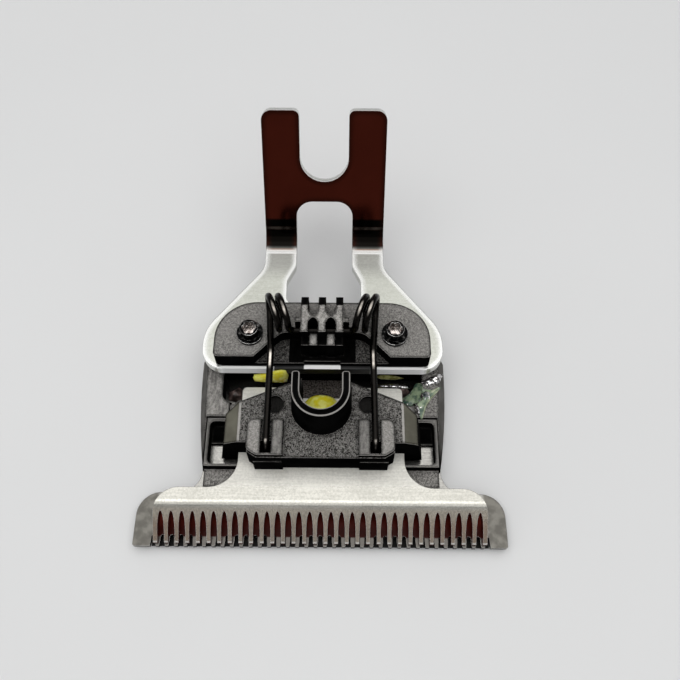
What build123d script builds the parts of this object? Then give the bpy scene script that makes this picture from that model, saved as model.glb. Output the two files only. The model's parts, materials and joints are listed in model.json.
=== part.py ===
"""A trimmer blade set: a T-shaped comb blade, a sliding cutter and the forked bracket that clips it in."""

import os
from math import cos, hypot, radians, sin, tan

from build123d import *

# Frame: X across the blade, Y from the comb's tooth tips (0) back to the fork, Z up from the table.
# At the end everything is moved so that the origin is under the middle of the whole part.

# Comb blade, the fixed one
comb_width = 40.4
comb_tip_corner = 0.25
comb_thickness = 1.3
comb_wing_depth = 5.9
comb_wing_corner = 2.6
comb_neck_width = 26.7
comb_neck_fillet = 2.5
comb_length = 24.6
comb_rear_corner = 2.0
comb_tooth_pitch = 1.0
comb_tooth_count = 36
comb_gap_width = 0.45
comb_gap_mouth = 0.64
comb_mouth_depth = 0.6
comb_gap_depth = 1.2
comb_tip_thickness = 0.6
comb_bevel_run = 3.6

# Cutter blade, the sliding one: a bent sheet whose toothed edge comes down on the comb
slide_gap = 0.03
cutter_width = 35.8
cutter_thickness = 0.9
cutter_tip_setback = 0.28
cutter_tip_thickness = 0.35
cutter_bend_depth = 4.05
cutter_bend_radius = 1.0
cutter_wing_depth = 5.7
cutter_wing_corner = 2.7
cutter_neck_width = 18.2
cutter_flare_radius = 3.1
cutter_length = 17.4
cutter_rear_corner = 0.5
cutter_notch_width = 6.4
cutter_notch_depth = 1.3
cutter_tooth_pitch = 1.138
cutter_tooth_count = 32
cutter_gap_width = 0.73
cutter_gap_depth = 2.95
cutter_gap_arch = 2.0
cutter_stroke = 1.2

# Base frame, the plastic frame that stands on the comb blade
base_front_width = 26.7
base_middle_width = 28.2
base_rear_width = 28.8
base_front_lean = 0.4
base_middle_lean = 0.9
base_rear_lean = 0.95
base_front = 8.35
base_middle = 14.0
base_rear_start = 19.6
base_length = 26.2
base_rear_taper = 4.4
base_height = 1.87
base_rail_step = 0.6
base_block_height = 4.7
base_block_width = 25.8
base_recess_width = 26.0
base_ledge_width = 26.2
base_ledge_front = 6.4
base_ledge_height = 0.6
base_window_width = 25.3
base_window_corner = 0.5
base_front_bar = 0.25
base_bridge_front = 13.6
base_bridge_rear = 15.65
base_step_setback = 0.37
base_bridge_gap = 0.25
base_floor_front = 11.4
base_floor_height = 0.5
base_hole_width = 22.9
base_hole_corner = 1.1

# Drive carrier, the plastic block on the cutter that the drive pin moves
carrier_front = 7.9
carrier_height = 3.3
carrier_width = 17.9
carrier_rear_side = 14.25
carrier_rear_middle = 17.1
wing_width = 20.8
wing_front = 9.6
wing_rear = 13.05
wing_drop = 0.65
wing_flare = 0.85
wing_leg_rear = 13.2
wing_leg_gap = 0.1
pad_inner = 4.0
pad_outer = 7.86
pad_front = 8.0
pad_rear = 12.06
pad_height = 0.6
pad_corner_run = 1.07
pad_corner_cut = 0.65
pad_corner_round = 0.7
foot_inner = 4.13
foot_outer = 7.2
foot_front = 7.68
foot_drop = 0.75
groove_offset = 5.8
groove_width = 1.15
groove_lip = 0.25
groove_depth = 0.55
groove_pocket_rear = 9.75
groove_pocket_depth = 1.55
dimple_offset = 5.05
dimple_y = 14.0
dimple_radius = 0.95
dimple_depth = 0.4
cup_centre = 13.78
cup_outer_radius = 3.05
cup_wall = 0.85
cup_arm_end = 16.05
cup_arm_round = 0.3
cup_height = 4.8
cup_taper = 3.0
cup_rim_round = 0.18

# Fork bracket, a bent plate
bracket_thickness = 1.2
bracket_front = 18.3
bracket_width = 27.2
bracket_front_corner = 2.5
bracket_side_end = 23.2
bracket_side_corner = 5.0
arm_outer_width = 14.2
arm_start = 31.6
arm_corner = 3.0
gap_front = 26.7
gap_width = 8.75
gap_corner = 1.0
gap_narrow_start = 29.9
gap_narrow_end = 32.0
gap_blend = 1.5
arm_gap_width = 6.7
fold_y = 35.5
fold_radius = 2.5
fork_angle = 58.4
fork_length = 15.8
fork_bar_start = 5.13
fork_bar_end = 7.57
fork_notch_width = 5.65
fork_window_corner = 1.9
fork_outer_corner = 1.15
fork_inner_corner = 0.7

# Spring holder, the plastic cap on the bracket
holder_front = 18.72
holder_width = 23.9
holder_rear = 25.55
holder_front_corner = 0.5
holder_rear_corner = 4.6
holder_height = 2.3
recess_floor_height = 0.6
recess_mouth = 7.5
recess_step = 6.1
recess_step_y = 20.2
recess_depth = 21.7
recess_corner = 1.6
front_notch_depth = 0.25
front_notch_width = 4.0
block_width = 4.6
block_front = 19.75
rib_width = 0.8
rib_pitch = 1.9
rib_front = 20.15
rib_top_rear = 23.45
rib_rear = 24.9
rib_height = 3.1
rib_rear_drop = 0.8
rib_root_drop = 0.1
web_middle = 22.05
web_thickness = 0.25
web_arch = 0.9
sill_drop = 0.45
tab_width = 0.88
tab_front = 19.55
tab_rear = 21.5
nub_reach = 0.65
nub_front = 21.75
nub_thickness = 0.55
nub_drop = 0.7

# Torsion spring, one wire: crossbar, a double coil each side and two legs
wire_radius = 0.375
wire_gap = 0.02
coil_centre_y = 22.9
coil_depth = 3.6
coil_clearance = 0.06
coil_start = 3.6
coil_top_shift = 1.3
coil_bottom_shift = 0.25
crossbar_bend = 0.7
leg_knee_y = 19.3
leg_pad_y = 9.6
leg_tip_reach = 0.95
leg_tip_drop = 0.75
leg_knee_radius = 4.0
leg_tip_radius = 0.8

# Clamp screws
screw_offset = 8.0
screw_y = 21.45
screw_radius = 0.8
screw_hole_gap = 0.1
screw_thread_gap = 0.02
screw_end_cover = 0.2
screw_flange_radius = 1.47
screw_flange_height = 0.45
screw_head_radius = 1.0
screw_head_height = 1.1
screw_socket_radius = 0.78
screw_socket_depth = 0.9
socket_lobe_count = 6
socket_lobe_radius = 0.25

# Heights that follow from the stack
comb_top = comb_thickness
base_top = comb_top + base_height
rail_top = base_top + base_rail_step
ledge_top = comb_top + base_ledge_height
bracket_bottom = comb_top + base_block_height
bracket_top = bracket_bottom + bracket_thickness
holder_top = bracket_top + holder_height
rib_top = holder_top + rib_height
cutter_land = comb_top + slide_gap
cutter_floor = base_top + slide_gap
cutter_top = cutter_floor + cutter_thickness
carrier_top = cutter_top + carrier_height
pad_top = carrier_top + pad_height
cup_top = carrier_top + cup_height

# Spring places that follow from its seats
coil_bottom_radius = hypot(coil_depth, coil_bottom_shift) / 2
coil_top_radius = hypot(coil_depth, coil_top_shift) / 2
coil_centre_z = holder_top + coil_clearance + wire_radius + coil_bottom_radius
coil_front = coil_centre_y - coil_depth / 2
crossbar_z = coil_centre_z - crossbar_bend
leg_z = coil_centre_z - coil_bottom_radius
leg_pad_z = pad_top - groove_depth + wire_radius + wire_gap
sill_top = crossbar_z - wire_radius - wire_gap

# Fork directions
fork_rise = sin(radians(fork_angle))
fork_run = cos(radians(fork_angle))
overall_length = fold_y + fork_length * fork_run + bracket_thickness * fork_rise

# How far a cutting tool passes beyond what it cuts: right through, or a little
through = 60.0
overcut = 1.0


def rounded_face(corners):
    """A flat face from (x, y, radius) corners; a radius of 0 leaves the corner sharp."""
    points = [Vector(x, y) for x, y, _ in corners]
    joins = []
    for index, (x, y, radius) in enumerate(corners):
        corner = points[index]
        if radius == 0:
            joins.append((corner, None, corner))
            continue
        back = (points[index - 1] - corner).normalized()
        ahead = (points[(index + 1) % len(points)] - corner).normalized()
        half_angle = radians(back.get_angle(ahead)) / 2
        bisector = (back + ahead).normalized()
        reach = radius / tan(half_angle)
        middle = corner + bisector * (radius / sin(half_angle) - radius)
        joins.append((corner + back * reach, middle, corner + ahead * reach))
    edges = []
    for index, (start, middle, end) in enumerate(joins):
        if middle is not None:
            edges.append(ThreePointArc(start, middle, end))
        following = joins[(index + 1) % len(joins)][0]
        if (following - end).length > 1e-6:
            edges.append(Line(end, following))
    return make_face(edges)


def mirrored(right_half):
    """Corners of an outline that is the same on both sides of X = 0, from its right half."""
    left_half = [(-x, y, radius) for x, y, radius in reversed(right_half) if x > 0]
    return right_half + left_half


def prism(face, bottom, top):
    """A face of the plan, raised from one height to another."""
    return Pos(0, 0, bottom) * extrude(face, top - bottom)


def plan_box(x_low, x_high, y_low, y_high, bottom, top):
    """A box given by its sides."""
    size = Box(x_high - x_low, y_high - y_low, top - bottom, align=(Align.MIN, Align.MIN, Align.MIN))
    return Pos(x_low, y_low, bottom) * size


def across(profile, half_width):
    """A side profile, drawn as (y, z) corners, stretched across the part."""
    return extrude(Plane.YZ * rounded_face(profile), half_width, both=True)


def pair(solid):
    """A right-hand piece and its mirror image on the left."""
    return solid + mirror(solid, Plane.YZ)


def screw_holes(radius, bottom, top):
    """The two upright holes or shanks of the clamp screws."""
    rod = Cylinder(radius, top - bottom, align=(Align.CENTER, Align.CENTER, Align.MIN))
    return [Pos(side * screw_offset, screw_y, bottom) * rod for side in (-1, 1)]


def make_fixed_blade():
    """The comb blade: a T-shaped plate with a bevelled, toothed front edge and two tapped holes."""
    neck_half = comb_neck_width / 2
    outline = mirrored([
        (comb_width / 2, 0, comb_tip_corner),
        (comb_width / 2, comb_wing_depth, comb_wing_corner),
        (neck_half, comb_wing_depth, comb_neck_fillet),
        (neck_half, comb_length, comb_rear_corner),
    ])
    blade = prism(rounded_face(outline), 0, comb_thickness)
    bevel = [
        (-overcut, -overcut, 0),
        (comb_bevel_run, -overcut, 0),
        (comb_bevel_run, 0, 0),
        (0, comb_thickness - comb_tip_thickness, 0),
        (-overcut, comb_thickness - comb_tip_thickness, 0),
    ]
    blade -= across(bevel, comb_width)
    root = comb_gap_depth - comb_gap_width / 2
    gap_face = rounded_face(mirrored([
        (comb_gap_mouth / 2, -overcut, 0),
        (comb_gap_mouth / 2, 0, 0),
        (comb_gap_width / 2, comb_mouth_depth, 0),
        (comb_gap_width / 2, root, 0),
    ])) + Pos(0, root) * Circle(comb_gap_width / 2)
    gap = prism(gap_face, -overcut, comb_top + overcut)
    gap_count = comb_tooth_count + 1
    first_gap = -comb_tooth_count * comb_tooth_pitch / 2
    blade -= [Pos(first_gap + index * comb_tooth_pitch, 0, 0) * gap for index in range(gap_count)]
    blade -= screw_holes(screw_radius + screw_thread_gap, -overcut, comb_top + overcut)
    return blade


def make_cutter_blade():
    """The cutter: a bent sheet with ground teeth, a flared neck and a notch behind the drive slot."""
    bend_rise = cutter_top - cutter_land - cutter_tip_thickness
    bend_run = cutter_bend_depth - cutter_tip_setback
    slope = bend_rise / bend_run
    upright_thickness = cutter_thickness * hypot(1, slope)
    land_end = cutter_tip_setback + (upright_thickness - cutter_tip_thickness) / slope
    inner_bend = land_end + (cutter_floor - cutter_land) / slope
    profile = [
        (cutter_tip_setback, cutter_land, 0),
        (land_end, cutter_land, 0),
        (inner_bend, cutter_floor, 0),
        (cutter_length, cutter_floor, 0),
        (cutter_length, cutter_top, 0),
        (cutter_bend_depth, cutter_top, cutter_bend_radius),
        (cutter_tip_setback, cutter_land + cutter_tip_thickness, 0),
    ]
    sheet = across(profile, cutter_width / 2)
    neck_half = cutter_neck_width / 2
    notch_half = cutter_notch_width / 2
    outline = rounded_face(mirrored([
        (cutter_width / 2, 0, 0),
        (cutter_width / 2, cutter_wing_depth, cutter_wing_corner),
        (neck_half, cutter_wing_depth, cutter_flare_radius),
        (neck_half, cutter_length, cutter_rear_corner),
        (notch_half, cutter_length, 0),
        (notch_half, cutter_length - cutter_notch_depth, cutter_rear_corner),
    ]))
    cutter = sheet & prism(outline, 0, cutter_top + overcut)
    gap_tip = cutter_tip_setback + cutter_gap_depth
    arch_start = gap_tip - cutter_gap_arch
    gap_face = Pos(0, arch_start) * Ellipse(cutter_gap_width / 2, cutter_gap_arch)
    gap_face += Rectangle(cutter_gap_width, 2 * arch_start)
    gap = prism(gap_face, 0, cutter_top + overcut)
    gap_count = cutter_tooth_count - 1
    first_gap = -(gap_count - 1) * cutter_tooth_pitch / 2
    return cutter - [Pos(first_gap + index * cutter_tooth_pitch, 0, 0) * gap for index in range(gap_count)]


def base_plan(front_half, middle_half, rear_half):
    """The base frame's outline: bowed sides and cut rear corners."""
    taper_start = base_length - base_rear_taper
    side = ThreePointArc((front_half, base_front), (middle_half, base_middle), (rear_half, base_rear_start))
    rear = Polyline(
        (rear_half, base_rear_start), (rear_half, taper_start), (rear_half - base_rear_taper, base_length)
    )
    left = [mirror(edge, Plane.YZ) for edge in (side, rear)]
    front_line = Line((-front_half, base_front), (front_half, base_front))
    rear_line = Line((rear_half - base_rear_taper, base_length), (base_rear_taper - rear_half, base_length))
    return make_face([front_line, side, rear, rear_line] + left)


def make_base_frame():
    """The plastic frame: a front ledge, two pockets, a bridge, side rails and a block for the bracket."""
    bottom_halves = (base_front_width / 2, base_middle_width / 2, base_rear_width / 2)
    leans = (base_front_lean, base_middle_lean, base_rear_lean)
    top_halves = [half - lean for half, lean in zip(bottom_halves, leans)]
    foot = Pos(0, 0, comb_top) * base_plan(*bottom_halves)
    frame = loft([foot, Pos(0, 0, rail_top) * base_plan(*top_halves)])
    block_half = base_block_width / 2
    block = rounded_face(mirrored([
        (block_half, base_rear_start, 0),
        (block_half, base_length - base_rear_taper, 0),
        (top_halves[2] - base_rear_taper, base_length, 0),
    ]))
    frame += prism(block, comb_top, bracket_bottom)

    recess_half = base_recess_width / 2
    recess_rear = base_bridge_front + base_step_setback
    frame -= plan_box(-recess_half, recess_half, 0, recess_rear, base_top, through)
    ledge_half = base_ledge_width / 2
    frame += plan_box(-ledge_half, ledge_half, base_ledge_front, base_front, comb_top, ledge_top)
    window_front = base_front + base_front_bar
    window = rounded_face(mirrored([
        (base_window_width / 2, window_front, base_window_corner),
        (base_window_width / 2, base_bridge_front, base_window_corner),
    ]))
    window_cut = prism(window, comb_top, base_top + overcut)
    window_cut -= plan_box(-through, through, base_floor_front, through, 0, comb_top + base_floor_height)
    frame -= window_cut
    hole = rounded_face(mirrored([
        (base_hole_width / 2, base_bridge_rear, base_hole_corner),
        (base_hole_width / 2, base_rear_start, 0),
    ]))
    frame -= prism(hole, 0, rail_top + overcut)
    bridge_half = cutter_neck_width / 2 + cutter_stroke + base_bridge_gap
    frame -= plan_box(-bridge_half, bridge_half, base_bridge_front, base_bridge_rear, base_top, through)
    return frame - screw_holes(screw_radius + screw_hole_gap, 0, through)


def make_drive_carrier():
    """The plastic carrier: a plate with winged sides, grooved spring pads, feet and the drive cup."""
    half = carrier_width / 2
    cup_inner_radius = cup_outer_radius - cup_wall
    body_face = rounded_face(mirrored([
        (pad_outer - pad_corner_run, carrier_front, 0),
        (pad_outer, carrier_front + pad_corner_cut, 0),
        (pad_outer, wing_front, 0),
        (half, wing_front, 0),
        (half, carrier_rear_side, 0),
        (cup_inner_radius, carrier_rear_middle, 0),
    ]))
    carrier = prism(body_face, cutter_top, carrier_top)

    wing_half = wing_width / 2
    leg_inner = cutter_neck_width / 2 + slide_gap
    leg_bottom = comb_top + base_floor_height + wing_leg_gap
    wing_profile = Plane.XZ * rounded_face([
        (leg_inner, leg_bottom, 0),
        (wing_half + wing_flare, leg_bottom, 0),
        (wing_half, carrier_top - wing_drop, 0),
        (half, carrier_top, 0),
        (pad_outer, carrier_top, 0),
        (pad_outer, cutter_top, 0),
        (leg_inner, cutter_top, 0),
    ])
    wing = Pos(0, wing_front, 0) * extrude(wing_profile, -(carrier_rear_side - wing_front))
    wing -= prism(
        rounded_face([
            (half, carrier_rear_side, 0),
            (wing_half, wing_rear, 0),
            (wing_half + wing_flare + overcut, wing_rear, 0),
            (wing_half + wing_flare + overcut, carrier_rear_side + overcut, 0),
            (half, carrier_rear_side + overcut, 0),
        ]),
        0,
        through,
    )
    wing -= plan_box(0, through, wing_leg_rear, through, 0, cutter_top)
    carrier += pair(wing)

    pad_face = rounded_face([
        (pad_inner, pad_front, 0),
        (pad_outer - pad_corner_run, pad_front, pad_corner_round),
        (pad_outer, pad_front + pad_corner_cut, pad_corner_round),
        (pad_outer, pad_rear, pad_corner_round),
        (pad_inner, pad_rear, 0),
    ])
    pad = prism(pad_face, carrier_top, pad_top)
    foot = plan_box(foot_inner, foot_outer, foot_front, carrier_front, cutter_top, carrier_top - foot_drop)
    carrier += pair(pad + foot)

    groove_left = groove_offset - groove_width / 2
    groove_right = groove_offset + groove_width / 2
    groove_floor = pad_top - groove_depth
    pocket_floor = pad_top - groove_pocket_depth
    groove_front = pad_front + groove_lip
    groove = plan_box(groove_left, groove_right, groove_front, pad_rear + overcut, groove_floor, through)
    groove += plan_box(groove_left, groove_right, groove_front, groove_pocket_rear, pocket_floor, through)
    dimple = Pos(dimple_offset, dimple_y, carrier_top) * Cylinder(dimple_radius, 2 * dimple_depth)
    carrier -= pair(groove + dimple)

    cup_bottom_radius = cup_outer_radius + cup_height * tan(radians(cup_taper))
    cup_face = u_face(cup_bottom_radius, cup_arm_end)
    cup = Pos(0, 0, carrier_top) * extrude(cup_face, cup_height, taper=cup_taper)
    slot = prism(u_face(cup_inner_radius, carrier_rear_middle + overcut), 0, through)
    cup -= slot
    upright_edges = [edge for edge in cup.edges() if edge.bounding_box().size.Z > cup_height / 2]
    arm_corners = [edge for edge in upright_edges if edge.center().Y > cup_centre + cup_wall]
    cup = fillet(arm_corners, cup_arm_round)
    rim_edges = cup.edges().filter_by_position(Axis.Z, cup_top, cup_top)
    return carrier - slot + fillet(rim_edges, cup_rim_round)


def u_face(radius, rear):
    """A U of the plan that is round in front, around the cup's axis, and straight to the rear."""
    bow = CenterArc((0, cup_centre), radius, 180, 180)
    sides = Polyline((radius, cup_centre), (radius, rear), (-radius, rear), (-radius, cup_centre))
    return make_face([bow, sides])


def make_fork_bracket():
    """The bent plate: a broad clamped end, two arms and an H-shaped fork that stands up at an angle."""
    arm_half = arm_outer_width / 2
    plate = prism(
        rounded_face(mirrored([
            (bracket_width / 2, bracket_front, bracket_front_corner),
            (bracket_width / 2, bracket_side_end, bracket_side_corner),
            (arm_half, arm_start, arm_corner),
            (arm_half, fold_y - fold_radius, 0),
        ])),
        bracket_bottom,
        bracket_top,
    )
    fold_inside = Vector(fold_y, bracket_top)
    along = Vector(fork_run, fork_rise)
    outward = Vector(fork_rise, -fork_run)
    fold_outside_y = fold_y + bracket_thickness * tan(radians(fork_angle / 2))
    tip_inside = fold_inside + along * fork_length
    tip_outside = tip_inside + outward * bracket_thickness
    strip = across(
        [
            (fold_y - fold_radius, bracket_bottom, 0),
            (fold_outside_y, bracket_bottom, fold_radius + bracket_thickness),
            (tip_outside.X, tip_outside.Y, 0),
            (tip_inside.X, tip_inside.Y, 0),
            (fold_y, bracket_top, fold_radius),
            (fold_y - fold_radius, bracket_top, 0),
        ],
        arm_half,
    )
    fork_plane = Plane(origin=(0, fold_y, bracket_top), x_dir=(1, 0, 0), z_dir=(0, -fork_rise, fork_run))
    notch_half = fork_notch_width / 2
    fork_limits = rounded_face(mirrored([
        (arm_half, -through, 0),
        (arm_half, fork_length, fork_outer_corner),
        (notch_half, fork_length, fork_inner_corner),
        (notch_half, fork_bar_end + notch_half, 0),
    ])) - Pos(0, fork_bar_end + notch_half) * Circle(notch_half)
    strip &= fork_plane * extrude(fork_limits, through, both=True)
    window = rounded_face(mirrored([
        (arm_gap_width / 2, -through, 0),
        (arm_gap_width / 2, fork_bar_start, fork_window_corner),
    ]))
    strip -= fork_plane * extrude(window, through, both=True)
    plate_gap = rounded_face(mirrored([
        (gap_width / 2, gap_front, gap_corner),
        (gap_width / 2, gap_narrow_start, gap_blend),
        (arm_gap_width / 2, gap_narrow_end, gap_blend),
        (arm_gap_width / 2, fold_y, 0),
    ]))
    plate -= prism(plate_gap, 0, through)
    return plate + strip - screw_holes(screw_radius + screw_hole_gap, 0, through)


def make_spring_holder():
    """The plastic cap: two rounded wings, a low front recess and the ribbed block that hooks the spring."""
    outline = rounded_face(mirrored([
        (holder_width / 2, holder_front, holder_front_corner),
        (holder_width / 2, holder_rear, holder_rear_corner),
    ]))
    holder = prism(outline, bracket_top, holder_top)
    recess = rounded_face(mirrored([
        (recess_mouth, holder_front - overcut, 0),
        (recess_mouth, holder_front, 0),
        (recess_step, recess_step_y, 0),
        (recess_step - recess_corner, recess_depth, recess_corner),
        (block_width / 2, recess_depth, 0),
    ]))
    holder -= prism(recess, bracket_top + recess_floor_height, through)
    notch_half = front_notch_width / 2
    holder -= plan_box(-notch_half, notch_half, 0, holder_front + front_notch_depth, 0, through)

    half = block_width / 2
    sill = sill_top - sill_drop
    web_front = web_middle - web_thickness / 2 - web_arch
    web_rear = web_middle + web_thickness / 2 + web_arch
    holder += plan_box(-half, half, block_front, web_rear, bracket_top, sill)
    slot_top = crossbar_z + wire_radius + wire_gap
    slot_rear = coil_front + wire_radius + wire_gap
    rib_profile = [
        (rib_front, slot_top, 0),
        (slot_rear, slot_top, 0),
        (slot_rear, sill - rib_root_drop, 0),
        (rib_rear, bracket_top, 0),
        (rib_rear, rib_top - rib_rear_drop, 0),
        (rib_top_rear, rib_top, 0),
        (rib_front, rib_top, 0),
    ]
    rib = across(rib_profile, rib_width / 2)
    holder += [Pos(index * rib_pitch, 0, 0) * rib for index in (-1, 0, 1)]
    web = plan_box(-rib_pitch, rib_pitch, web_front, web_rear, bracket_top, rib_top)
    arch = prism(Ellipse((rib_pitch - rib_width) / 2, web_arch), bracket_top, rib_top)
    web -= [Pos(side * rib_pitch / 2, y, 0) * arch for side in (-1, 1) for y in (web_front, web_rear)]
    holder += web - plan_box(-rib_pitch, rib_pitch, 0, slot_rear, sill, slot_top)
    tab = plan_box(-tab_width / 2, tab_width / 2, tab_front, tab_rear, bracket_top, sill_top)
    holder += [Pos(side * rib_pitch / 2, 0, 0) * tab for side in (-1, 1)]
    nub_rear = nub_front + nub_thickness
    nub = plan_box(0, half + nub_reach, nub_front, nub_rear, bracket_top, rib_top - nub_drop)
    nub -= plan_box(0, rib_pitch, 0, through, 0, through)
    holder += pair(nub)
    return holder - screw_holes(screw_radius + screw_hole_gap, 0, through)


def make_torsion_spring():
    """One round wire: a crossbar, two coils of about two turns and two legs that press on the pads."""
    rear = coil_centre_y + coil_depth / 2
    front_x = coil_start
    bend_start = Vector(coil_start - crossbar_bend, coil_front, crossbar_z)
    bend_middle = bend_start + Vector(sin(radians(45)), 0, 1 - cos(radians(45))) * crossbar_bend
    path = [Line((0, coil_front, crossbar_z), bend_start)]
    path.append(ThreePointArc(bend_start, bend_middle, (front_x, coil_front, coil_centre_z)))
    for turn in range(2):
        rear_x = front_x + coil_top_shift
        top = ((front_x + rear_x) / 2, coil_centre_y, coil_centre_z + coil_top_radius)
        turn_rear = (rear_x, rear, coil_centre_z)
        path.append(ThreePointArc((front_x, coil_front, coil_centre_z), top, turn_rear))
        bottom = (rear_x - coil_bottom_shift / 2, coil_centre_y, leg_z)
        if turn == 0:
            front_x = rear_x - coil_bottom_shift
            path.append(ThreePointArc(turn_rear, bottom, (front_x, coil_front, coil_centre_z)))
    lean = coil_bottom_shift / coil_depth
    quarter = coil_bottom_radius * sin(radians(45))
    inward = Vector(-lean, -1, 0).normalized()
    axis_point = Vector(bottom[0], bottom[1], coil_centre_z)
    quarter_middle = axis_point - inward * quarter - Vector(0, 0, quarter)
    path.append(ThreePointArc(turn_rear, quarter_middle, bottom))
    knee_x = bottom[0] - lean * (coil_centre_y - leg_knee_y)
    leg = FilletPolyline(
        bottom,
        (knee_x, leg_knee_y, leg_z),
        (groove_offset, leg_pad_y, leg_pad_z),
        (groove_offset, leg_pad_y - leg_tip_reach, leg_pad_z - leg_tip_drop),
        radius=[leg_knee_radius, leg_tip_radius],
    )
    route = Wire([edge for piece in path + [leg] for edge in piece.edges()])
    section = Plane(origin=(0, coil_front, crossbar_z), z_dir=(1, 0, 0)) * Circle(wire_radius)
    return pair(sweep(section, path=route))


def make_clamp_screws():
    """Two flanged screws with six-lobed sockets, through the whole stack into the comb blade."""
    upward = (Align.CENTER, Align.CENTER, Align.MIN)
    head_bottom = holder_top + screw_flange_height
    screw = Pos(0, 0, screw_end_cover) * Cylinder(screw_radius, holder_top - screw_end_cover, align=upward)
    screw += Pos(0, 0, holder_top) * Cylinder(screw_flange_radius, screw_flange_height, align=upward)
    screw += Pos(0, 0, head_bottom) * Cylinder(screw_head_radius, screw_head_height, align=upward)
    socket_face = Circle(screw_socket_radius - socket_lobe_radius / 2)
    lobe_circle = screw_socket_radius - socket_lobe_radius
    lobe = Pos(lobe_circle, 0) * Circle(socket_lobe_radius)
    for index in range(socket_lobe_count):
        socket_face += Rot(0, 0, index * 360 / socket_lobe_count) * lobe
    head_top = head_bottom + screw_head_height
    screw -= prism(socket_face, head_top - screw_socket_depth, head_top + overcut)
    return Compound(children=[Pos(side * screw_offset, screw_y, 0) * screw for side in (-1, 1)])


pieces = {
    "fixed_blade": make_fixed_blade,
    "cutter_blade": make_cutter_blade,
    "base_frame": make_base_frame,
    "drive_carrier": make_drive_carrier,
    "fork_bracket": make_fork_bracket,
    "spring_holder": make_spring_holder,
    "torsion_spring": make_torsion_spring,
    "clamp_screws": make_clamp_screws,
}

os.makedirs("parts", exist_ok=True)
for name, make_piece in pieces.items():
    export_step(Pos(0, -overall_length / 2, 0) * make_piece(), f"parts/{name}.step")
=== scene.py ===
"""Looks of the trimmer blade set: finishes, a copy of the spring, grease and grime, light and camera."""

import json
import math

import bmesh
import bpy
from mathutils import Matrix, Vector, noise

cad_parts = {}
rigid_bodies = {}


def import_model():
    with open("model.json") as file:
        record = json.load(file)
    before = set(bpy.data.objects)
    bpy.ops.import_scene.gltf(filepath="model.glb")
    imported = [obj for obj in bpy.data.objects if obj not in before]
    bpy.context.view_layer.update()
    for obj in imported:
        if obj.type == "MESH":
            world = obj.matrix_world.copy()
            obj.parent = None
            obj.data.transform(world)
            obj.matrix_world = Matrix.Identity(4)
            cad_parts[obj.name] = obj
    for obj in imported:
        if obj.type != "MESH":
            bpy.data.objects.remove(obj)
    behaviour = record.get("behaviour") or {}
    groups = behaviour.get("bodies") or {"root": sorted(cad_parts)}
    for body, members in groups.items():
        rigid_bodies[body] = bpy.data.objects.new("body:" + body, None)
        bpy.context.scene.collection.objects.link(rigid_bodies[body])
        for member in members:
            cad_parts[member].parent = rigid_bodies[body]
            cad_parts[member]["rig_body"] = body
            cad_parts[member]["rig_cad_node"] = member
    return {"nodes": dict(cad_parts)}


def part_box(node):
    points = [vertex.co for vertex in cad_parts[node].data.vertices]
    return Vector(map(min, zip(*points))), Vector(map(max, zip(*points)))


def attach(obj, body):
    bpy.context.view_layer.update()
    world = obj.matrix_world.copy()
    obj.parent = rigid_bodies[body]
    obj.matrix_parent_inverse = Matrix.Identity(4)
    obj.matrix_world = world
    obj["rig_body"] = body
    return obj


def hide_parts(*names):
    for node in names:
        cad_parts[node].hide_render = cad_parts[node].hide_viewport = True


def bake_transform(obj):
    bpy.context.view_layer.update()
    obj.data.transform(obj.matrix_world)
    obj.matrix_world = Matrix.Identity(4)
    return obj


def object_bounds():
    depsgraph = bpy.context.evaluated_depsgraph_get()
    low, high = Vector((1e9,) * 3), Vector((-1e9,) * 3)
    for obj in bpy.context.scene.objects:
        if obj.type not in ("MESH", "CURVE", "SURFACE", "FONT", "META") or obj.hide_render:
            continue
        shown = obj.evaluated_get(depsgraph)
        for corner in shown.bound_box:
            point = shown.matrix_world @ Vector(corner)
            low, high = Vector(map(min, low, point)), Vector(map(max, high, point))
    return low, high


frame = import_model()
nodes = frame["nodes"]
cad_low, cad_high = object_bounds()

# Places are written in millimetres: X across, Y back from the comb's tooth tips, Z up from the table.
MM = 0.001
TIP_Y = cad_low.y


def at(x, y, z):
    """A point of the part's own frame, in metres."""
    return Vector((x * MM, TIP_Y + y * MM, z * MM))


# Heights and places of the part that the looks refer to
comb_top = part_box("fixed_blade")[1].z / MM
bracket_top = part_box("spring_holder")[0].z / MM
cutter_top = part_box("cutter_blade")[1].z / MM
base_top = comb_top + 1.87
rail_top = base_top + 0.6
ledge_top = comb_top + 0.6
carrier_top = cutter_top + 3.3
pad_top = carrier_top + 0.6
dimple_floor = carrier_top - 0.4
holder_top = bracket_top + 2.3
recess_floor = bracket_top + 0.6
rib_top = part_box("spring_holder")[1].z / MM
tab_top = rib_top - 1.97
cup_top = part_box("drive_carrier")[1].z / MM
cup_rear = (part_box("drive_carrier")[1].y - TIP_Y) / MM
nub_top = rib_top - 0.7
screw_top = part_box("clamp_screws")[1].z / MM
socket_floor = screw_top - 0.9
fold_y = 35.5
fork_angle = math.radians(58.4)
fork_along = (0, math.cos(fork_angle), math.sin(fork_angle))

# Sockets of a mix node that take and give colours
MIX_FIRST = 6
MIX_SECOND = 7
MIX_RESULT = 2


def grey(tone):
    """A grey with the faint warmth that the whole part has."""
    return (tone, tone * 0.96, tone * 0.90)


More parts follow.
